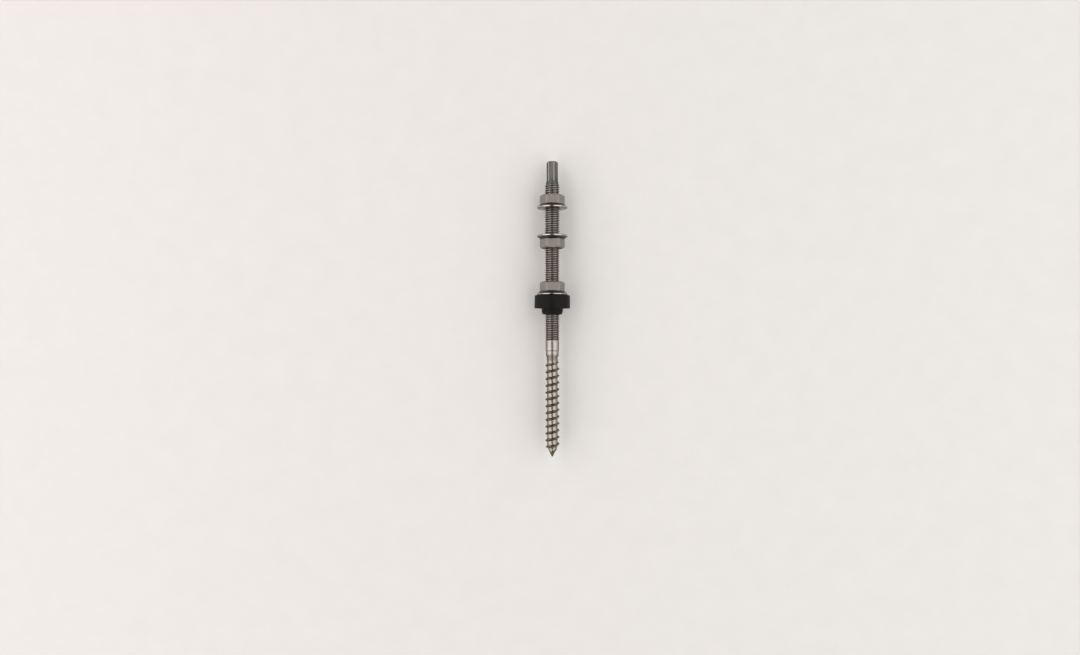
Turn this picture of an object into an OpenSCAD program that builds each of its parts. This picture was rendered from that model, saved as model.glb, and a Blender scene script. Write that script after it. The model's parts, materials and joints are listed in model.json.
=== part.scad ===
// Hanger bolt with three flange nuts and a rubber seal, lying on its side.
// Each piece is drawn along its own axis, with heights counted from the bolt's point,
// and then laid down on the seal's rim and the top nut's flange. All sizes in millimetres.

/* [Hanger bolt] */
// Length of the bolt from the point to the top of the drive
bolt_length = 200; // [184:1:260]
// Diameter of the plain shank between the two threads
shank_d = 9.2; // [8:0.1:9.8]
// Length of the plain shank
shank_length = 5.9; // [3:0.1:15]
// Diameter of the collar below the shank
collar_d = 8.7; // [8:0.1:9.2]
// Length of the step between the shank and its collar
collar_step = 0.3; // [0.1:0.1:0.6]

/* [Machine thread] */
// Outside diameter of the machine thread
thread_d = 10; // [9:0.1:12]
// Rise of the thread in one turn
thread_pitch = 1.5; // [1:0.05:2]
// Depth of the thread, from its crest to its root
thread_depth = 0.9; // [0.5:0.05:1.2]
// Length over which the thread runs out above the shank
runout_length = 0.8; // [0.4:0.1:2]
// Where the thread starts inside the shank, round the axis
thread_turn = 300; // [0:1:359]

/* [Hexagon drive] */
// Width across the flats of the drive
drive_flats = 7; // [6:0.1:8]
// Length of the drive's corners, above the shoulder
drive_length = 13.8; // [8:0.1:20]
// Slope of the shoulder between the thread and the drive, measured from the axis
shoulder_angle = 20; // [15:1:45]
// Inset of the drive's end face from its flats, with a chamfer of 45 degrees
drive_chamfer = 0.3; // [0.1:0.05:0.8]
// Turn of the drive about the axis, from a corner facing sideways
drive_turn = 43.5; // [0:0.5:60]

/* [Wood thread] */
// Length from the point to the end of the wood thread's core
wood_length = 67.2; // [50:0.1:80]
// Outside diameter of the wood thread
wood_d = 9.6; // [8.6:0.1:11]
// Diameter of its core
wood_core_d = 6.8; // [5.5:0.1:7.4]
// Rise of the thread in one turn
wood_pitch = 4.62; // [3.8:0.02:6]
// Width of the thread at its foot, along the axis
ridge_foot = 2; // [1.2:0.1:2.8]
// Width of the thread at its crest, along the axis
ridge_crest = 0.3; // [0.1:0.05:0.6]
// Length over which the thread fades out at its upper end
fade_length = 5.6; // [3:0.1:10]
// Length of the tapered point
point_length = 6.2; // [4:0.1:12]
// Where the thread starts on the point, round the axis
wood_turn = 153; // [0:1:359]
// Length from the end of the core up to the plain shank
neck_length = 4.9; // [2:0.1:8]
// Length of the taper below the collar
taper_length = 0.8; // [0.4:0.1:1.4]
// Diameter at the lower end of that taper
taper_end_d = 7.6; // [7.5:0.1:7.9]

/* [Flange nuts] */
// Width across the flats of the hexagon
nut_flats = 15; // [14:0.1:17]
// Width across the rolled corners of the hexagon
nut_corners = 16.9; // [15.5:0.1:17.3]
// Height of the whole nut
nut_height = 9.1; // [8:0.1:11]
// Diameter of the flange
flange_d = 21; // [19:0.1:23.4]
// Thickness of the flange's rounded rim
rim_thickness = 1.4; // [1:0.1:2]
// Slope of the flange's cone, measured from its face
flange_slope = 36; // [20:1:50]
// Slope of the chamfer at the free end of the hexagon
nut_chamfer_angle = 30; // [15:1:40]
// Diameter of the flat ring at the free end
nut_end_d = 14.2; // [13:0.1:14.8]
// Depth of the countersinks at both ends of the bore
countersink = 0.6; // [0.2:0.1:1]
// Radial clearance of the nuts on the thread
nut_clearance = 0.1; // [0.05:0.01:0.3]
// Turns of the top, middle and lower nut about the axis
nut_turns = [0, 3, 3.4]; // [0:0.1:60]

/* [Seal] */
// Diameter of the disc at its top edge
disc_d = 24; // [22:0.1:28]
// Growth of the disc's diameter from its top to its bottom edge
disc_draft = 0.25; // [0:0.05:0.5]
// Thickness of the disc
disc_thickness = 8.9; // [6:0.1:12]
// Rounding of the disc's top edge
disc_round = 0.8; // [0.3:0.1:2]
// Diameter of the boss where it meets the disc
boss_d = 14.9; // [13.6:0.1:18]
// Diameter of the boss at its lower end
boss_end_d = 14; // [12.6:0.1:14.8]
// Length of the boss
boss_length = 4.2; // [2:0.1:8]
// Rounding of the boss's lower edge
boss_round = 1.4; // [0.3:0.1:2]
// Radial clearance of the seal on the thread
seal_clearance = 0.1; // [0.05:0.01:0.3]
// Width of the flat spot where the soft disc lies on the ground
seal_flat = 4.4; // [1:0.1:6]

/* [Places along the thread] */
// Distance of the top nut's flange face below the upper end of the thread
top_nut_drop = 15.3; // [10:0.1:18]
// Gap between the faces of the top and the middle nut
clamp_gap = 17.9; // [8:0.1:20]
// Distance of the seal's boss above the lower end of the thread
seal_lift = 17.6; // [2:0.1:20]

/* [Hidden] */
$fn = 96;

thread_r = thread_d / 2;
root_r = thread_r - thread_depth;
drive_r = drive_flats / sqrt(3);
drive_end_r = drive_flats / 2 - drive_chamfer;
nut_bore_r = thread_r + nut_clearance;
seal_bore_r = thread_r + seal_clearance;
rim_r = rim_thickness / 2;

// Heights along the bolt's axis
shank_bottom = wood_length + neck_length;
shank_top = shank_bottom + shank_length;
thread_bottom = shank_top + runout_length;
drive_bottom = bolt_length - drive_length;
// The shoulder's cone is sunk into the drive, so the flats end in arches
shoulder_sink = 0.2;
shoulder_top_r = drive_flats / 2 - shoulder_sink;
flat_end = drive_bottom + (drive_r - drive_flats / 2) / tan(shoulder_angle);
shoulder_top = flat_end + shoulder_sink / tan(shoulder_angle);
thread_top = shoulder_top - (thread_r - shoulder_top_r) / tan(shoulder_angle);
seal_bottom = thread_bottom + seal_lift;
seal_top = seal_bottom + boss_length + disc_thickness;
top_face = thread_top - top_nut_drop;
middle_face = top_face - clamp_gap;

// The bolt lies on two rounded rims, and these give its slope and the height of its axis.
// Each rim is the radius and height of its rounding's centre. The seal's rim is pressed flat a little.
seal_rim = [disc_d / 2 - disc_round, seal_top - disc_round];
nut_rim = [flange_d / 2 - rim_r, top_face + rim_r];
between_rims = [seal_rim[0] - nut_rim[0], nut_rim[1] - seal_rim[1]];
pressed = disc_d / 2 - sqrt(pow(disc_d / 2, 2) - pow(seal_flat / 2, 2));
seal_rest = disc_round - pressed;
tilt = acos((rim_r - seal_rest) / norm(between_rims)) - atan2(between_rims[1], between_rims[0]);
axis_height = seal_rim[0] * cos(tilt) + seal_rim[1] * sin(tilt) + seal_rest;
half_reach = (bolt_length * cos(tilt) + drive_end_r * sin(tilt)) / 2;

// Both threads are closed surfaces of helical lines, each with a number of points in a turn.
// Wood thread: its two feet and the two edges of its crest. Core and ridge end a little inside the taper.
wood_steps = 24;
ridge = [-ridge_foot / 2, -ridge_crest / 2, ridge_crest / 2, ridge_foot / 2];
point_gap = 0.4;
blunt = 0.5;
core_sink = 1;
wood_first = point_gap + ridge_foot / 2;
wood_turns = ceil((wood_length + core_sink - wood_first) / wood_pitch + 1);

// Machine thread: a line along its root and one along its crest. It starts inside the shank and ends inside
// the drive, and it stays within the shoulder's cone by a hair, so that no faces coincide.
thread_steps = 20;
groove = [0, thread_pitch / 2];
hair = 0.03;
thread_first = shank_top - thread_pitch;
cone_root = thread_top + thread_depth / tan(shoulder_angle);
thread_turns = ceil((cone_root - thread_first) / thread_pitch + 1);
stud_sink = 0.2;
stud_core_r = root_r - stud_sink;

function clamped(x) = min(1, max(0, x));
function point_share(z) = clamped((z + blunt) / (point_length + blunt));
function ridge_share(z) = clamped((wood_length + core_sink - z) / fade_length);
function wood_r(z, line) = point_share(z) / 2
    * (wood_core_d + (line == 1 || line == 2 ? (wood_d - wood_core_d) * ridge_share(z) : 0));
function cone_r(z) = thread_r - (z - thread_top) * tan(shoulder_angle);
function machine_r(z, line) = max(stud_core_r / 2, min(cone_r(z) - hair,
    root_r + (line == 1 ? thread_depth * clamped((z - shank_top) / runout_length) : 0)));

// Points of an arc about a centre, between two angles
function arc(centre, r, from, to, parts = 6) =
    [for (i = [0:parts]) let (a = from + (to - from) * i / parts) centre + r * [cos(a), sin(a)]];

// Lays a piece that is drawn upright along the bolt's axis on the ground, its drive towards +Y
module laid_down() {
    translate([0, -half_reach, axis_height])
        rotate([-90 - tilt, 0, 0])
            children();
}

// Everything below the ground
module ground() {
    translate([-disc_d, -half_reach, -disc_d])
        cube([2 * disc_d, 2 * half_reach, disc_d]);
}

module hexagon(flats) {
    circle(d = 2 * flats / sqrt(3), $fn = 6);
}

// Closed surface of a right-hand screw that starts at a first height and turn. Each line has its own place
// along the axis, and its radius follows from the height and the line. Both ends close on the axis.
module screw(places, pitch, turns, steps, first, turn, bottom, radius) {
    lines = len(places);
    last = turns * steps;
    points = [for (step = [0:last], line = [0:lines - 1])
        let (a = turn + 360 * step / steps,
             z = first + pitch * step / steps + places[line],
             r = radius(z, line))
        [r * cos(a), r * sin(a), z]];
    // Number of a point in the list, where the line after the last is the first of the next turn
    number = function (step, line) line < lines ? step * lines + line : (step + steps) * lines;
    flanks = [for (step = [0:last - 1], line = [0:lines - 1])
        if (line < lines - 1 || step + steps < last)
            each [[number(step, line), number(step, line + 1), number(step + 1, line + 1)],
                  [number(step, line), number(step + 1, line + 1), number(step + 1, line)]]];
    lower_edge = concat([for (step = [0:steps]) number(step, 0)],
                        [for (line = [lines - 1:-1:0]) number(0, line)]);
    upper_edge = concat([for (step = [last - steps:last]) number(step, lines - 1)],
                        [for (line = [lines - 2:-1:0]) number(last, line)],
                        [number(last - steps, lines - 1)]);
    lower_end = len(points);
    upper_end = lower_end + 1;
    lower_faces = [for (i = [0:len(lower_edge) - 2]) [lower_end, lower_edge[i], lower_edge[i + 1]]];
    upper_faces = [for (i = [0:len(upper_edge) - 2]) [upper_end, upper_edge[i + 1], upper_edge[i]]];
    polyhedron(points = concat(points, [[0, 0, bottom], [0, 0, first + pitch * turns]]),
               faces = concat(flanks, lower_faces, upper_faces));
}

module wood_screw() {
    screw(ridge, wood_pitch, wood_turns, wood_steps, wood_first, wood_turn, 0,
          function (z, line) wood_r(z, line));
}

module machine_thread() {
    screw(groove, thread_pitch, thread_turns, thread_steps, thread_first, thread_turn, thread_first,
          function (z, line) machine_r(z, line));
}

// Taper, collar, plain shank, the core inside the machine thread, and shoulder
module stud() {
    rotate_extrude()
        polygon([[0, wood_length],
                 [taper_end_d / 2, wood_length],
                 [collar_d / 2, wood_length + taper_length],
                 [collar_d / 2, shank_bottom - collar_step],
                 [shank_d / 2, shank_bottom],
                 [shank_d / 2, shank_top],
                 [stud_core_r, thread_bottom],
                 [stud_core_r, cone_root],
                 [root_r, cone_root],
                 [shoulder_top_r, shoulder_top],
                 [0, shoulder_top]]);
}

module drive() {
    outer_r = drive_r + drive_chamfer;
    intersection() {
        translate([0, 0, thread_top])
            rotate([0, 0, drive_turn])
                linear_extrude(bolt_length - thread_top)
                    hexagon(drive_flats);
        rotate_extrude()
            polygon([[0, thread_top],
                     [outer_r, thread_top],
                     [outer_r, bolt_length - (outer_r - drive_end_r)],
                     [drive_end_r, bolt_length],
                     [0, bolt_length]]);
    }
}

module hanger_bolt() {
    color([0.62, 0.6, 0.57])
        laid_down() {
            wood_screw();
            machine_thread();
            stud();
            drive();
        }
}

// One nut standing on its flange, with its face at height zero
module flange_nut() {
    corner_r = nut_corners / 2;
    end_r = nut_end_d / 2;
    rim = [flange_d / 2 - rim_r, rim_r];
    cone_inner_r = nut_bore_r + (nut_flats / 2 - nut_bore_r) / 2;
    cone_outer = rim + rim_r * [sin(flange_slope), cos(flange_slope)];
    cone_top = cone_outer[1] + (cone_outer[0] - cone_inner_r) * tan(flange_slope);
    difference() {
        union() {
            intersection() {
                linear_extrude(nut_height)
                    hexagon(nut_flats);
                rotate_extrude()
                    polygon([[0, rim_r],
                             [corner_r, rim_r],
                             [corner_r, nut_height - (corner_r - end_r) * tan(nut_chamfer_angle)],
                             [end_r, nut_height],
                             [0, nut_height]]);
            }
            rotate_extrude()
                polygon(concat([[0, 0]],
                               arc(rim, rim_r, -90, 90 - flange_slope),
                               [[cone_inner_r, cone_top], [0, cone_top]]));
        }
        nut_bore();
    }
}

// Bore of a nut with a countersink at each end
module nut_bore() {
    wide_r = nut_bore_r + 2 * countersink;
    rotate_extrude()
        polygon([[0, -countersink],
                 [wide_r, -countersink],
                 [nut_bore_r, countersink],
                 [nut_bore_r, nut_height - countersink],
                 [wide_r, nut_height + countersink],
                 [0, nut_height + countersink]]);
}

module nut_colour() {
    color([0.7, 0.68, 0.65])
        children();
}

module top_nut() {
    nut_colour()
        laid_down()
            translate([0, 0, top_face])
                rotate([0, 0, nut_turns[0]])
                    flange_nut();
}

// Turned over, so its flange faces the top nut's
module middle_nut() {
    nut_colour()
        laid_down()
            translate([0, 0, middle_face])
                rotate([180, 0, nut_turns[1]])
                    flange_nut();
}

module lower_nut() {
    nut_colour()
        laid_down()
            translate([0, 0, seal_top])
                rotate([0, 0, nut_turns[2]])
                    flange_nut();
}

module seal() {
    // The rounding leaves some of the boss's end flat
    boss_edge = min(boss_round, 0.8 * (boss_end_d / 2 - seal_bore_r));
    boss_centre = [boss_end_d / 2 - boss_edge, seal_bottom + boss_edge];
    color([0.1, 0.1, 0.1])
        difference() {
            laid_down()
                rotate_extrude()
                    polygon(concat([[seal_bore_r, seal_bottom]],
                                   arc(boss_centre, boss_edge, -90, 0),
                                   [[boss_d / 2, seal_bottom + boss_length],
                                    [(disc_d + disc_draft) / 2, seal_bottom + boss_length]],
                                   arc(seal_rim, disc_round, 0, 90),
                                   [[seal_bore_r, seal_top]]));
            ground();
        }
}

hanger_bolt();
top_nut();
middle_nut();
lower_nut();
seal();
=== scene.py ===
"""Looks of a hanger bolt with three flange nuts and a rubber seal.

Each piece is drawn upright along the bolt's axis, in millimetres above the point, and is then laid on the
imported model, whose joints and mounts give the axis and the heights of the nuts and the seal.
"""
import json
import math

import bpy
import numpy as np
from mathutils import Matrix, Vector


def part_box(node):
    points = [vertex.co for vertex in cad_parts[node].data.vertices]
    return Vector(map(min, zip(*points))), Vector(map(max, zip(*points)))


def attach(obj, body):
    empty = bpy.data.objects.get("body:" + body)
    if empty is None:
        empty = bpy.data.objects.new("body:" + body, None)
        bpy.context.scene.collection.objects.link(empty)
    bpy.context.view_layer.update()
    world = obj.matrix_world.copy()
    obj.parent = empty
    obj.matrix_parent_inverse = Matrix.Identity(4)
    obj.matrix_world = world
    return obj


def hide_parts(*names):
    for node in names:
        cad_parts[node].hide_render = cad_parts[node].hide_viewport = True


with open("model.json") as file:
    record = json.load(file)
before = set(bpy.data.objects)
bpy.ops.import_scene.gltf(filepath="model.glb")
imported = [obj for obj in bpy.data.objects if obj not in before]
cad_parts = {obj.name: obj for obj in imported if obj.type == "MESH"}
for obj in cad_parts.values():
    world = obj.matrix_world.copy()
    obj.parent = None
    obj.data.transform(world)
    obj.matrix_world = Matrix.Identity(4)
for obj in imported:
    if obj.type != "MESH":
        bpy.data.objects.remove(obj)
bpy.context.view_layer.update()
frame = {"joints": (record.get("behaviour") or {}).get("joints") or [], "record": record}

# Sizes and heights are in millimetres and angles in degrees. A name that ends in R is a radius
MM = 0.001

# Machine thread. The phase is the height at which the helix of its crest passes angle 0
THREAD_PITCH = 1.5
THREAD_PHASE = 1.3
THREAD_CREST_R = 4.97
THREAD_ROOT_R = 4.05
THREAD_BOTTOM = 78.0
THREAD_FADE = 1.6
# Its outline over one pitch, from the crest: shares of the pitch, and the share of the depth at each
THREAD_SHARES = np.array([0.0, 0.06, 0.38, 0.5, 0.62, 0.94])
THREAD_DEPTHS = np.array([0.0, 0.03, 0.94, 1.0, 0.94, 0.03])

# Wood thread. Its ridge grows between two heights on the point, and fades out below the thread's top
WOOD_PITCH = 4.62
WOOD_PHASE = 4.06
WOOD_CREST_R = 4.8
WOOD_CORE_R = 3.6
WOOD_START = 2.6
WOOD_GROWN = 6.4
WOOD_TOP = 67.0
WOOD_FADE = 5.4
# Its outline over one pitch, from the crest: shares of the pitch, and the share of the ridge at each
WOOD_SHARES = np.array([0.0, 0.03, 0.19, 0.23, 0.29, 0.5, 0.71, 0.77, 0.81, 0.97])
WOOD_RISES = np.array([1.0, 0.97, 0.13, 0.03, 0.0, 0.0, 0.0, 0.03, 0.13, 0.97])

# Point: a cone with its sharp end cut off. The thread is lifted there, most of all at half the length
POINT_LENGTH = 6.9
POINT_BLUNT = 0.9
POINT_LIFT = 0.75

# Taper, collar and plain shank
TAPER_LENGTH = 1.8
TAPER_STEPS = 6
COLLAR_R = 4.35
COLLAR_STEP = 0.3
SHANK_R = 4.6
SHANK_BOTTOM = 72.1

# Shoulder and hexagon drive. The angle is the one between the shoulder's cone and the axis
BOLT_LENGTH = 200.0
STUD_R = 5.0
SHOULDER_ANGLE = 20.0
DRIVE_CORNER_HEIGHT = 186.2
DRIVE_FLATS = 7.0
DRIVE_TURN = 46.0
DRIVE_EDGE_R = 0.35
DRIVE_CHAMFER = 0.3
# The cone starts at the outside of the stud and meets the corners of the drive
CONE_SLOPE = math.tan(math.radians(SHOULDER_ANGLE))
CONE_FOOT = DRIVE_CORNER_HEIGHT - (STUD_R - DRIVE_FLATS / math.sqrt(3.0)) / CONE_SLOPE

# Flange nuts. Their heights count from the flange's face, and their turns are about the bolt's axis
NUT_FLATS = 15.0
NUT_CORNER_R = 8.45
NUT_HEIGHT = 9.1
NUT_END_R = 7.1
NUT_CHAMFER_ANGLE = 30.0
FLANGE_R = 10.5
FLANGE_SLOPE = 36.0
FLANGE_FILLET = 0.35
RIM_R = 0.7
COUNTERSINK_R = 5.7
TOP_NUT_TURN = 0.0
MIDDLE_NUT_TURN = 3.0
LOWER_NUT_TURN = 3.4
# Clearance of the nuts' thread from the bolt's, and of the lower nut from the seal
THREAD_PLAY = 0.08
SEAT_PLAY = 0.03

# Seal
SEAL_BORE_R = 5.1
DISC_TOP_R = 12.0
DISC_BOTTOM_R = 12.125
DISC_ROUND_R = 0.8
DISC_EDGE_R = 0.2
BOSS_R = 7.45
BOSS_END_R = 7.0
BOSS_LENGTH = 4.2
BOSS_ROUND_R = 1.4
BOSS_FILLET_R = 0.35

# Columns of points round the axis: as angles from a corner in one sixth of a hexagon, or else their number
SECTOR = 60.0
DRIVE_COLUMNS = np.array([-2.6, -1.3, 0.0, 1.3, 2.6, 8.0, 15.0, 22.5, 30.0, 37.5, 45.0, 52.0])
NUT_COLUMNS = np.linspace(6.0, 54.0, 11)
SEAL_COLUMNS = 144
FLOOR_COLUMNS = 120
# Points become one where they agree to so many decimals, and edges are sharp from this angle on
MERGE_DIGITS = 5
SHARP_ANGLE = 35.0

# Camera, placed in the upright frame
CAMERA_DISTANCE = 540.0
CAMERA_LEFT = 8.35
CAMERA_HEIGHT = 87.6
CAMERA_LENS = 26.5
CAMERA_SENSOR = 36.0

# Studio, in metres. The room is dimmest from a height above the horizon that is given as a sine
FLOOR_R = 0.85
SOFTBOX_DISTANCE = 0.9
SOFTBOX_LENGTH = 3.3
ROOM_COLOUR = (1.0, 0.99, 0.97, 1.0)
ROOM_HORIZON = 0.55
ROOM_OVERHEAD = 0.14
ROOM_DIM_FROM = 0.4

# Range that nearly all values of a noise texture lie in
NOISE_LOW = 0.3
NOISE_HIGH = 0.7

mounts = {mount["name"]: mount["pos_m"] for mount in frame["record"]["mounts"]}
nut_turn = next(joint for joint in frame["joints"] if joint["name"] == "lower_nut_turn")


def upright_frame():
    """Matrix from the upright bolt, in metres above its point, to the lying one."""
    pivot = Vector(nut_turn["pos_m"])
    axis = Vector(nut_turn["axis"]).normalized()
    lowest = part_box("hanger_bolt")[0]
    point = pivot - axis * ((pivot.y - lowest.y) / axis.y)
    side = Vector((1.0, 0.0, 0.0))
    matrix = Matrix((side, axis.cross(side), axis)).transposed().to_4x4()
    matrix.translation = point
    return matrix


UPRIGHT = upright_frame()


def height_of(position):
    """Height above the point of a position in the model's frame."""
    return (UPRIGHT.inverted() @ Vector(position)).z / MM


top_face = height_of(mounts["clamp_seat_upper"])
middle_face = height_of(mounts["clamp_seat_lower"])
disc_bottom = height_of(mounts["roof_seat"])
seal_top = height_of(nut_turn["pos_m"])


class Skin:
    """Points and faces of one piece. Points that coincide become one when the mesh is made."""

    def __init__(self):
        self.points = []
        self.faces = []
        self.count = 0

    def grid(self, radii, heights, angles, wrap=0, inward=False):
        """Adds rows of points round the axis. The last column joins the first, wrap rows further up."""
        radii, heights = np.broadcast_arrays(radii, heights)
        rows, columns = radii.shape
        turn = np.radians(angles)
        points = np.stack([radii * np.cos(turn), radii * np.sin(turn), heights], axis=2)
        here = self.count + np.arange(rows * columns).reshape(rows, columns)
        after = np.roll(here, -1, axis=1)
        last = rows - wrap
        after[:last, -1] = here[wrap:, 0]
        quads = np.stack([here[:-1], after[:-1], after[1:], here[1:]], axis=2)
        faces = np.concatenate([quads[:, :-1].reshape(-1, 4), quads[:last - 1, -1]])
        self.faces.append(faces[:, ::-1] if inward else faces)
        self.points.append(points.reshape(-1, 3))
        self.count += rows * columns

    def mesh(self, name):
        """A mesh in metres, without the faces that have shrunk to a line or a point."""
        points = np.concatenate(self.points)
        single, places = np.unique(points.round(MERGE_DIGITS), axis=0, return_inverse=True)
        faces = []
        for face in places.reshape(-1)[np.concatenate(self.faces)]:
            corners = [int(c) for c, before in zip(face, np.roll(face, 1)) if c != before]
            if len(corners) > 2:
                faces.append(corners)
        mesh = bpy.data.meshes.new(name)
        mesh.from_pydata((single * MM).tolist(), [], faces)
        mesh.validate()
        mesh.shade_smooth()
        mesh.set_sharp_from_angle(angle=math.radians(SHARP_ANGLE))
        return mesh


def dress(skin, name, body, material, origin=Matrix()):
    """Makes a piece of a skin, in the place of the CAD node of the same name."""
    mesh = skin.mesh(name)
    mesh.transform(origin.inverted())
    mesh.materials.append(material)
    piece = bpy.data.objects.new(name + "_dressed", mesh)
    bpy.context.scene.collection.objects.link(piece)
    piece.matrix_world = UPRIGHT @ origin
    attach(piece, body)
    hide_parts(name)
    return piece


def sector_angles(turn, columns):
    """Angles of the columns round the axis, the same in each sixth of a hexagon."""
    return turn + np.add.outer(np.arange(0.0, 360.0, SECTOR), columns).ravel()


def from_corner(angles, turn):
    """Angle from the nearest corner of a hexagon."""
    return np.abs((angles - turn + SECTOR / 2.0) % SECTOR - SECTOR / 2.0)


def helix_rows(angles, pitch, phase, shares, low, high):
    """Heights of helical lines between two heights, and each row's share of the pitch."""
    spare_turns = 2
    first = math.floor((low - phase) / pitch) - spare_turns
    last = math.ceil((high - phase) / pitch) + spare_turns
    turns = np.arange(first, last + 1)
    lines = np.add.outer(turns, shares).ravel()
    heights = phase + pitch * np.add.outer(lines, angles / 360.0)
    return heights.clip(low, high), np.tile(shares, len(turns))[:, None]


def ramp(values, low, high):
    """0 up to low, 1 from high on, and even between them."""
    return ((values - low) / (high - low)).clip(0.0, 1.0)


def arc(radius, height, size, start, end, steps=6):
    """Points of a rounding about a centre, as radii and heights."""
    turn = np.radians(np.linspace(start, end, steps + 1))
    return [(radius + size * math.cos(t), height + size * math.sin(t)) for t in turn]


def curve_middle(start, handle, end):
    """Middle of a quadratic curve from start to end, drawn towards its handle."""
    return 0.25 * start + 0.5 * handle + 0.25 * end


def machine_radius(shares):
    """Radius of the machine thread at these shares of the pitch."""
    depth = np.interp(shares, np.append(THREAD_SHARES, 1.0), np.append(THREAD_DEPTHS, 0.0))
    return THREAD_CREST_R - (THREAD_CREST_R - THREAD_ROOT_R) * depth


def wood_radius(heights, shares):
    """Radius of the wood thread, its ridge and point included."""
    rise = np.interp(shares, WOOD_SHARES, WOOD_RISES)
    rise = rise * ramp(heights, WOOD_START, WOOD_GROWN) * ramp(-heights, -WOOD_TOP, WOOD_FADE - WOOD_TOP)
    point = ramp(heights, -POINT_BLUNT, POINT_LENGTH)
    return point * (WOOD_CORE_R + (WOOD_CREST_R - WOOD_CORE_R) * rise)


def hexagon_radius(angles, turn, flats, edge_r):
    """Radius of a hexagon with rounded corners."""
    half_sector = math.radians(SECTOR / 2.0)
    off = np.radians(from_corner(angles, turn))
    flat = flats / 2.0 / np.cos(half_sector - off)
    centre = (flats / 2.0 - edge_r) / math.cos(half_sector)
    across = np.minimum(centre * np.sin(off), edge_r)
    rounded = centre * np.cos(off) + np.sqrt(edge_r ** 2 - across ** 2)
    return np.minimum(flat, rounded)


def make_bolt(material):
    """The hanger bolt, from its point up to its drive."""
    angles = sector_angles(DRIVE_TURN, DRIVE_COLUMNS)
    even = np.ones_like(angles)
    skin = Skin()

    # Point and wood thread
    heights, shares = helix_rows(angles, WOOD_PITCH, WOOD_PHASE, WOOD_SHARES, 0.0, WOOD_TOP)
    half_point = POINT_LENGTH / 2.0
    heights = heights + POINT_LIFT * (1.0 - np.abs(heights / half_point - 1.0)).clip(0.0, 1.0)
    skin.grid(wood_radius(heights, shares), heights, angles, wrap=len(WOOD_SHARES))
    tip_r = WOOD_CORE_R * POINT_BLUNT / (POINT_BLUNT + POINT_LENGTH)
    skin.grid(np.array([[0.0], [tip_r]]) * even, np.zeros((2, 1)), angles)

    # Rounded taper, collar and plain shank
    rise = np.linspace(0.0, 1.0, TAPER_STEPS + 1)
    taper_r = WOOD_CORE_R + (COLLAR_R - WOOD_CORE_R) * rise ** 2 * (3.0 - 2.0 * rise)
    taper_z = WOOD_TOP + TAPER_LENGTH * rise
    shank = np.array([*zip(taper_r, taper_z),
                      (COLLAR_R, SHANK_BOTTOM - COLLAR_STEP),
                      (SHANK_R, SHANK_BOTTOM),
                      (SHANK_R, THREAD_BOTTOM)])
    skin.grid(shank[:, :1] * even, shank[:, 1:], angles)

    # Machine thread, cut off by the shoulder's cone at its upper end
    thread_top = CONE_FOOT + (STUD_R - THREAD_ROOT_R) / CONE_SLOPE
    heights, shares = helix_rows(angles, THREAD_PITCH, THREAD_PHASE, THREAD_SHARES,
                                 THREAD_BOTTOM, thread_top)
    grown = ramp(heights, THREAD_BOTTOM, THREAD_BOTTOM + THREAD_FADE)
    radii = SHANK_R + (machine_radius(shares) - SHANK_R) * grown
    cone = STUD_R - (heights - CONE_FOOT) * CONE_SLOPE
    skin.grid(np.minimum(radii, cone), heights, angles, wrap=len(THREAD_SHARES))

    # Shoulder and drive
    hexagon = hexagon_radius(angles, DRIVE_TURN, DRIVE_FLATS, DRIVE_EDGE_R)
    end_r = DRIVE_FLATS / 2.0 - DRIVE_CHAMFER
    drive_r = np.array([THREAD_ROOT_R * even, hexagon, hexagon, end_r * even, 0.0 * even])
    drive_z = np.array([thread_top * even,
                        CONE_FOOT + (STUD_R - hexagon) / CONE_SLOPE,
                        BOLT_LENGTH - (hexagon - end_r),
                        BOLT_LENGTH * even,
                        BOLT_LENGTH * even])
    skin.grid(drive_r, drive_z, angles)
    dress(skin, "hanger_bolt", "bolt", material)


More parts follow.
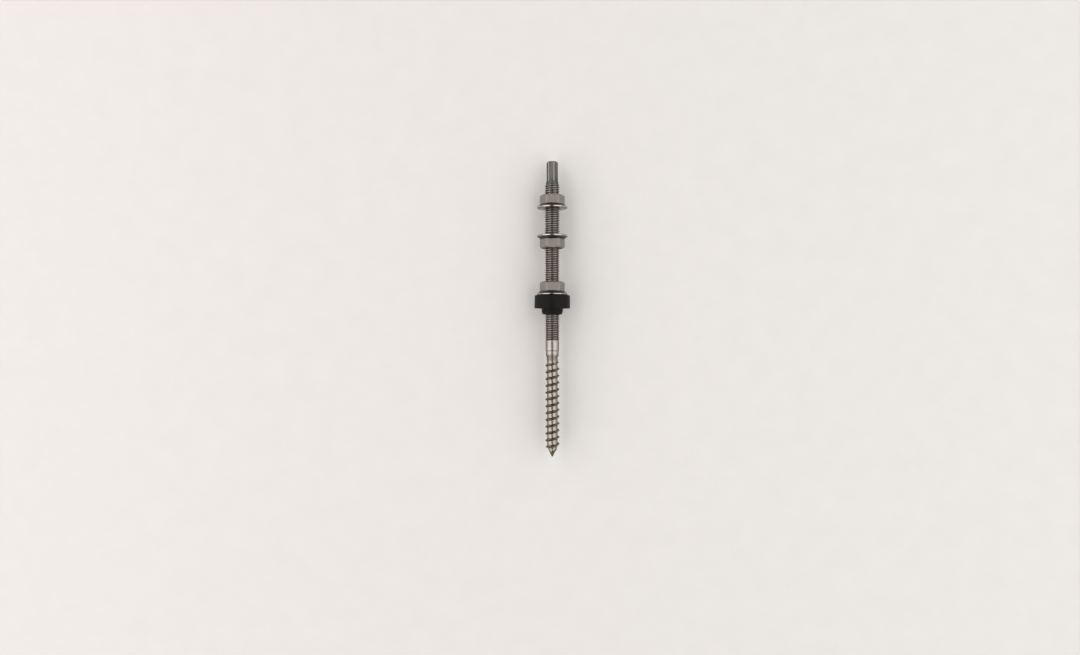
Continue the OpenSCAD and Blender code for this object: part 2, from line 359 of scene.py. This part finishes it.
def make_nut(name, face, turn, material, upward=True):
    """A flange nut in mesh with the thread. Its flange lies at face, its hexagon above or below it."""
    # Each corner is rolled round over this angle on both sides
    corner_half = SECTOR / 2.0 - math.degrees(math.acos(NUT_FLATS / 2.0 / NUT_CORNER_R))
    angles = sector_angles(turn, np.concatenate([[-corner_half, 0.0, corner_half], NUT_COLUMNS]))
    off = np.radians(SECTOR / 2.0 - from_corner(angles, turn))
    side = np.minimum(NUT_FLATS / 2.0 / np.cos(off), NUT_CORNER_R)
    even = np.ones_like(angles)

    # Flange with its rounded rim, fillet, hexagon and chamfer, from the face's inner edge to the end's
    slope = math.radians(FLANGE_SLOPE)
    rim = arc(FLANGE_R - RIM_R, RIM_R, RIM_R, -90.0, 90.0 - FLANGE_SLOPE, steps=8)
    cone_r, cone_z = rim[-1]
    foot = cone_z + (cone_r - side) * math.tan(slope)
    before_r = side + FLANGE_FILLET * math.cos(slope)
    before_z = foot - FLANGE_FILLET * math.sin(slope)
    after_z = foot + FLANGE_FILLET
    chamfer_z = NUT_HEIGHT - (side - NUT_END_R) * math.tan(math.radians(NUT_CHAMFER_ANGLE))
    rows = [(COUNTERSINK_R * even, 0.0 * even)]
    rows += [(r * even, z * even) for r, z in rim]
    rows += [(before_r, before_z),
             (curve_middle(before_r, side, side), curve_middle(before_z, foot, after_z)),
             (side, after_z),
             (side, chamfer_z),
             (NUT_END_R * even, NUT_HEIGHT * even),
             (COUNTERSINK_R * even, NUT_HEIGHT * even)]
    radii = np.array([r for r, _ in rows])
    heights = np.array([z for _, z in rows])
    skin = Skin()
    skin.grid(radii, face + (heights if upward else -heights), angles, inward=not upward)

    # Bore with the thread and its two countersinks
    low = face if upward else face - NUT_HEIGHT
    high = low + NUT_HEIGHT
    heights, shares = helix_rows(angles, THREAD_PITCH, THREAD_PHASE, THREAD_SHARES, low, high)
    cut = COUNTERSINK_R - np.minimum(heights - low, high - heights)
    skin.grid(np.maximum(machine_radius(shares) + THREAD_PLAY, cut), heights, angles,
              wrap=len(THREAD_SHARES), inward=True)
    origin = Matrix.Translation((0.0, 0.0, face * MM))
    if not upward:
        origin = origin @ Matrix.Rotation(math.pi, 4, "X")
    dress(skin, name, name, material, origin)


def make_seal(material):
    """The rubber seal, a disc with a tapered boss below it."""
    bottom = disc_bottom - BOSS_LENGTH
    outline = [(SEAL_BORE_R, bottom)]
    outline += arc(BOSS_END_R - BOSS_ROUND_R, bottom + BOSS_ROUND_R, BOSS_ROUND_R, -90.0, 0.0)
    outline += arc(BOSS_R + BOSS_FILLET_R, disc_bottom - BOSS_FILLET_R, BOSS_FILLET_R, 180.0, 90.0)
    outline += arc(DISC_BOTTOM_R - DISC_EDGE_R, disc_bottom + DISC_EDGE_R, DISC_EDGE_R, -90.0, 0.0, steps=4)
    outline += arc(DISC_TOP_R - DISC_ROUND_R, seal_top - DISC_ROUND_R, DISC_ROUND_R, 0.0, 90.0)
    outline += [(SEAL_BORE_R, seal_top), (SEAL_BORE_R, bottom)]
    outline = np.array(outline)
    angles = np.linspace(0.0, 360.0, SEAL_COLUMNS, endpoint=False)
    skin = Skin()
    skin.grid(outline[:, :1] * np.ones_like(angles), outline[:, 1:], angles)
    seal = dress(skin, "seal", "seal", material)

    # The soft rim is pressed flat where it lies on the ground
    to_upright = UPRIGHT.inverted()
    for vertex in seal.data.vertices:
        laid = UPRIGHT @ vertex.co
        if laid.z < 0.0:
            laid.z = 0.0
            vertex.co = to_upright @ laid


class Surface:
    """A material and the nodes that make its look."""

    def __init__(self, name):
        self.material = bpy.data.materials.new(name)
        self.material.use_nodes = True
        self.tree = self.material.node_tree
        self.shader = self.tree.nodes["Principled BSDF"]
        self.position = self.add("ShaderNodeTexCoord").outputs["Object"]

    def add(self, kind, inputs=None, **settings):
        """Adds a node with these settings, and fills its inputs."""
        node = self.tree.nodes.new(kind)
        for key, value in settings.items():
            setattr(node, key, value)
        for key, value in (inputs or {}).items():
            self.fill(node.inputs[key], value)
        return node

    def fill(self, socket, value):
        """Sets a socket to a value, or links it to a node's output."""
        if isinstance(value, bpy.types.NodeSocket):
            self.tree.links.new(value, socket)
        else:
            socket.default_value = value

    def look(self, **values):
        """Fills the shader's sockets, named with an underscore for each space."""
        for key, value in values.items():
            self.fill(self.shader.inputs[key.replace("_", " ")], value)

    def noise(self, scale, detail=4.0, roughness=0.6, stretch=(1.0, 1.0, 1.0)):
        """Cloudy values about one half, finer with a larger scale."""
        stretched = self.add("ShaderNodeMapping", {"Vector": self.position, "Scale": stretch})
        node = self.add("ShaderNodeTexNoise", {"Vector": stretched.outputs["Vector"], "Scale": scale,
                                               "Detail": detail, "Roughness": roughness})
        return node.outputs["Fac"]

    def spread(self, value, low, high, to_low=0.0, to_high=1.0):
        """A value that runs from to_low to to_high while another runs from low to high."""
        node = self.add("ShaderNodeMapRange", {"Value": value, "From Min": low, "From Max": high,
                                               "To Min": to_low, "To Max": to_high})
        return node.outputs["Result"]

    def patches(self, scale, low=0.0, high=1.0, detail=4.0):
        """Soft patches of values from low to high."""
        return self.spread(self.noise(scale, detail), NOISE_LOW, NOISE_HIGH, low, high)

    def zones(self, value, span, bands):
        """Colours along a scale from 0 to span. A band is a colour, a start and an end, and bands blend."""
        node = self.add("ShaderNodeValToRGB", {"Fac": self.spread(value, 0.0, span * MM)})
        stops = [(place, colour) for colour, *ends in bands for place in ends]
        elements = node.color_ramp.elements
        while len(elements) < len(stops):
            elements.new(1.0)
        for element, (place, colour) in zip(elements, stops):
            element.position = place / span
            element.color = (*colour, 1.0)
        return node.outputs["Color"]

    def mix(self, share, first, second):
        """The first colour where the share is 0, and the second where it is 1."""
        node = self.add("ShaderNodeMix", data_type="RGBA")
        inputs = {socket.identifier: socket for socket in node.inputs}
        self.fill(inputs["Factor_Float"], share)
        self.fill(inputs["A_Color"], first)
        self.fill(inputs["B_Color"], second)
        return next(socket for socket in node.outputs if socket.identifier == "Result_Color")

    def clouded(self, colour, scale, low, high):
        """A colour that is darker and lighter in soft patches."""
        clouds = self.patches(scale, low, high)
        return self.add("ShaderNodeHueSaturation", {"Color": colour, "Value": clouds}).outputs["Color"]

    def bump(self, height, strength, distance):
        """A normal that follows small bumps."""
        node = self.add("ShaderNodeBump", {"Height": height, "Strength": strength, "Distance": distance})
        return node.outputs["Normal"]


def grey(value):
    """A grey with this value, for a band of roughness."""
    return (value, value, value)


def bolt_steel():
    """Stainless steel: dull on the drive, polished on the shank, with painted shade in the roots, on the
    ridge, the neck, the ring and the shoulder, and a painted highlight on the drive's corners.
    """
    steel = Surface("bolt_steel")
    parts = steel.add("ShaderNodeSeparateXYZ", {"Vector": steel.position})
    height = parts.outputs["Z"]
    across = steel.add("ShaderNodeCombineXYZ", {"X": parts.outputs["X"], "Y": parts.outputs["Y"]})
    length = steel.add("ShaderNodeVectorMath", {0: across.outputs["Vector"]}, operation="LENGTH")
    radius = length.outputs["Value"]

    # Bands of colour from the point up, near the axis and far from it: core and ridge, then root and crest.
    # The dark bands of the ridge, neck, ring, root and shoulder are painted shade
    point = (0.13, 0.115, 0.09)
    core = (0.38, 0.338, 0.286)
    # Painted shade on the wood thread's ridge
    ridge_shade = (0.18, 0.167, 0.136)
    # Painted shade on the rounded taper below the collar
    neck_shade = (0.22, 0.2, 0.178)
    shank = (0.42, 0.395, 0.37)
    # Painted shade along the step between collar and shank
    ring_shade = (0.27, 0.253, 0.236)
    # Painted shade in the machine thread's roots
    root_shade = (0.13, 0.121, 0.109)
    crest = (0.51, 0.479, 0.44)
    # Painted shade on the shoulder's cone
    shoulder_shade = (0.13, 0.125, 0.115)
    wood_end = 64.6
    shank_end = 78.2
    stud = (79.2, 183.6)
    plain = [(neck_shade, 65.6, 68.6), (shank, 70.0, 71.5), (ring_shade, 71.8, 72.2), (shank, 72.5, shank_end)]
    end = (shoulder_shade, 185.0, BOLT_LENGTH)
    near = [(point, 0.0, 2.4), (core, 3.4, wood_end), *plain, (root_shade, *stud), end]
    # Far from the axis the dark point band reaches higher, as painted shade on the start of the ridge
    far = [(point, 0.0, 5.0), (ridge_shade, WOOD_GROWN, wood_end), *plain, (crest, *stud), end]

    # Radii where the far colours begin and are full. Between two heights on the collar and the shank they
    # change from those of the ridge to those of the crest
    ridge_from_r = WOOD_CORE_R + 0.03
    ridge_full_r = WOOD_CORE_R + 0.25
    crest_from_r = THREAD_ROOT_R + 0.1
    crest_full_r = THREAD_CREST_R - 0.02
    change = (70.0 * MM, 75.0 * MM)
    inner = steel.spread(height, *change, ridge_from_r * MM, crest_from_r * MM)
    outer = steel.spread(height, *change, ridge_full_r * MM, crest_full_r * MM)
    taper = steel.spread(height, -POINT_BLUNT * MM, POINT_LENGTH * MM)
    untapered = steel.add("ShaderNodeMath", {0: radius, 1: taper}, operation="DIVIDE").outputs["Value"]
    thread = steel.mix(steel.spread(untapered, inner, outer),
                       steel.zones(height, BOLT_LENGTH, near),
                       steel.zones(height, BOLT_LENGTH, far))

    # The drive's flats stand out of the shoulder's cone, which keeps its painted shade, and a painted
    # highlight lies along the drive's corners
    flats = (0.165, 0.161, 0.151, 1.0)
    # Painted highlight along the drive's corners
    corners = (0.47, 0.456, 0.432, 1.0)
    flats_from = 0.03
    flats_full = 0.12
    highlight_from_r = 3.78
    highlight_full_r = 3.95
    cone_length = STUD_R / CONE_SLOPE
    cone = steel.spread(height, CONE_FOOT * MM, (CONE_FOOT + cone_length) * MM, STUD_R * MM, 0.0)
    above = steel.add("ShaderNodeMath", {0: radius, 1: cone}, operation="SUBTRACT").outputs["Value"]
    on_drive = steel.spread(above, flats_from * MM, flats_full * MM)
    corner_highlight = steel.spread(radius, highlight_from_r * MM, highlight_full_r * MM)
    colour = steel.mix(on_drive, thread, steel.mix(corner_highlight, flats, corners))

    roughness = steel.zones(height, BOLT_LENGTH, [(grey(0.24), 0.0, 66.0), (grey(0.28), 69.6, shank_end),
                                                  (grey(0.3), *stud),
                                                  (grey(0.56), DRIVE_CORNER_HEIGHT, BOLT_LENGTH)])
    scratches = steel.noise(scale=900.0, detail=2.0, stretch=(1.0, 1.0, 6.0))
    steel.look(Base_Color=steel.clouded(colour, scale=220.0, low=0.92, high=1.08),
               Metallic=1.0,
               Roughness=roughness,
               Specular_Tint=(0.2, 0.19, 0.18, 1.0),
               Normal=steel.bump(scratches, strength=0.04, distance=0.02 * MM))
    return steel.material


def nut_steel():
    """Matt stainless steel, with the height counted from the flange's face: painted shade on the face, the
    cone, the hexagon's foot and the end, and a painted highlight on the rim, which is also polished.
    """
    steel = Surface("nut_steel")
    height = steel.add("ShaderNodeSeparateXYZ", {"Vector": steel.position}).outputs["Z"]
    # Painted shade on the flange's face
    face = (0.12, 0.115, 0.108)
    # Painted highlight on the polished rim
    rim = (0.5, 0.478, 0.446)
    # Painted shade on the flange's cone
    cone = (0.11, 0.106, 0.099)
    # Painted shade in the fillet at the hexagon's foot
    foot = (0.045, 0.043, 0.04)
    flats = (0.3, 0.284, 0.266)
    # Painted shade on the nut's chamfered end
    end = (0.12, 0.115, 0.107)
    colour = steel.zones(height, NUT_HEIGHT, [(face, 0.0, 0.2), (rim, 0.42, 0.9), (cone, 1.1, 1.5),
                                              (foot, 2.0, 2.8), (flats, 3.2, 8.7), (end, 8.95, NUT_HEIGHT)])
    roughness = steel.zones(height, NUT_HEIGHT, [(grey(0.2), 0.0, 1.1), (grey(0.36), 1.4, 3.0),
                                                 (grey(0.58), 3.4, NUT_HEIGHT)])
    scratches = steel.noise(scale=700.0, detail=2.0, stretch=(1.0, 1.0, 3.0))
    steel.look(Base_Color=steel.clouded(colour, scale=900.0, low=0.9, high=1.1),
               Metallic=1.0,
               Roughness=roughness,
               Normal=steel.bump(scratches, strength=0.06, distance=0.03 * MM))
    return steel.material


def seal_rubber():
    """Matt black rubber with a moulded skin and a little dust."""
    rubber = Surface("seal_rubber")
    clean = (0.004, 0.004, 0.0038, 1.0)
    dusty = (0.0085, 0.0083, 0.0078, 1.0)
    dust = rubber.patches(scale=320.0, detail=6.0)
    skin = rubber.noise(scale=2600.0, detail=3.0)
    rubber.look(Base_Color=rubber.mix(dust, clean, dusty),
                Specular_IOR_Level=0.12,
                Roughness=rubber.spread(dust, 0.0, 1.0, 0.42, 0.56),
                Normal=rubber.bump(skin, strength=0.15, distance=0.04 * MM))
    return rubber.material


def make_floor():
    """A plain pale floor."""
    paper = Surface("floor_paper")
    darker = (0.715, 0.715, 0.71, 1.0)
    lighter = (0.735, 0.735, 0.73, 1.0)
    paper.look(Base_Color=paper.mix(paper.patches(scale=60.0), darker, lighter),
               Roughness=0.9,
               Specular_IOR_Level=0.1)
    turns = np.linspace(0.0, 2.0 * math.pi, FLOOR_COLUMNS, endpoint=False)
    edge = [(FLOOR_R * math.cos(t), FLOOR_R * math.sin(t), 0.0) for t in turns]
    mesh = bpy.data.meshes.new("floor")
    mesh.from_pydata(edge, [], [range(len(edge))])
    mesh.materials.append(paper.material)
    ground = bpy.data.objects.new("floor", mesh)
    bpy.context.scene.collection.objects.link(ground)


def softbox(name, from_zenith, width, colour, radiance):
    """A long soft light beside the bolt, turned from the zenith to one side and aimed at the bolt."""
    light = bpy.data.lights.new(name, "AREA")
    light.shape = "RECTANGLE"
    light.size = width
    light.size_y = SOFTBOX_LENGTH
    light.color = colour
    light.energy = radiance * math.pi * width * SOFTBOX_LENGTH
    lamp = bpy.data.objects.new(name, light)
    turned = Matrix.Rotation(math.radians(from_zenith), 4, "Y")
    lamp.matrix_world = turned @ Matrix.Translation((0.0, 0.0, SOFTBOX_DISTANCE))
    lamp.visible_camera = False
    bpy.context.scene.collection.objects.link(lamp)


def studio():
    """Two softboxes in a room that is dim overhead and lighter towards the horizon."""
    softbox("softbox_left", from_zenith=-48.5, width=1.0, colour=(1.0, 0.93, 0.89), radiance=1.62)
    softbox("softbox_right", from_zenith=44.5, width=1.12, colour=(1.0, 0.97, 0.93), radiance=1.4)
    world = bpy.data.worlds.new("studio")
    world.use_nodes = True
    nodes = world.node_tree.nodes
    links = world.node_tree.links
    direction = nodes.new("ShaderNodeSeparateXYZ")
    strength = nodes.new("ShaderNodeMapRange")
    strength.inputs["From Max"].default_value = ROOM_DIM_FROM
    strength.inputs["To Min"].default_value = ROOM_HORIZON
    strength.inputs["To Max"].default_value = ROOM_OVERHEAD
    nodes["Background"].inputs["Color"].default_value = ROOM_COLOUR
    links.new(nodes.new("ShaderNodeTexCoord").outputs["Generated"], direction.inputs["Vector"])
    links.new(direction.outputs["Z"], strength.inputs["Value"])
    links.new(strength.outputs["Result"], nodes["Background"].inputs["Strength"])
    bpy.context.scene.world = world
    bpy.context.scene.view_settings.view_transform = "Standard"


def make_camera():
    """Looks down on the lying bolt as the photograph looks at the upright one."""
    data = bpy.data.cameras.new("camera")
    data.sensor_width = CAMERA_SENSOR
    data.lens = CAMERA_LENS
    camera = bpy.data.objects.new("camera", data)
    bpy.context.scene.collection.objects.link(camera)
    stand = Matrix.Translation(Vector((-CAMERA_LEFT, -CAMERA_DISTANCE, CAMERA_HEIGHT)) * MM)
    level = Matrix.Rotation(math.radians(90.0), 4, "X")
    camera.matrix_world = UPRIGHT @ stand @ level
    bpy.context.scene.camera = camera


make_bolt(bolt_steel())
nuts_material = nut_steel()
make_nut("top_nut", top_face, TOP_NUT_TURN, nuts_material)
make_nut("middle_nut", middle_face, MIDDLE_NUT_TURN, nuts_material, upward=False)
make_nut("lower_nut", seal_top + SEAT_PLAY, LOWER_NUT_TURN, nuts_material)
make_seal(seal_rubber())
make_floor()
studio()
make_camera()
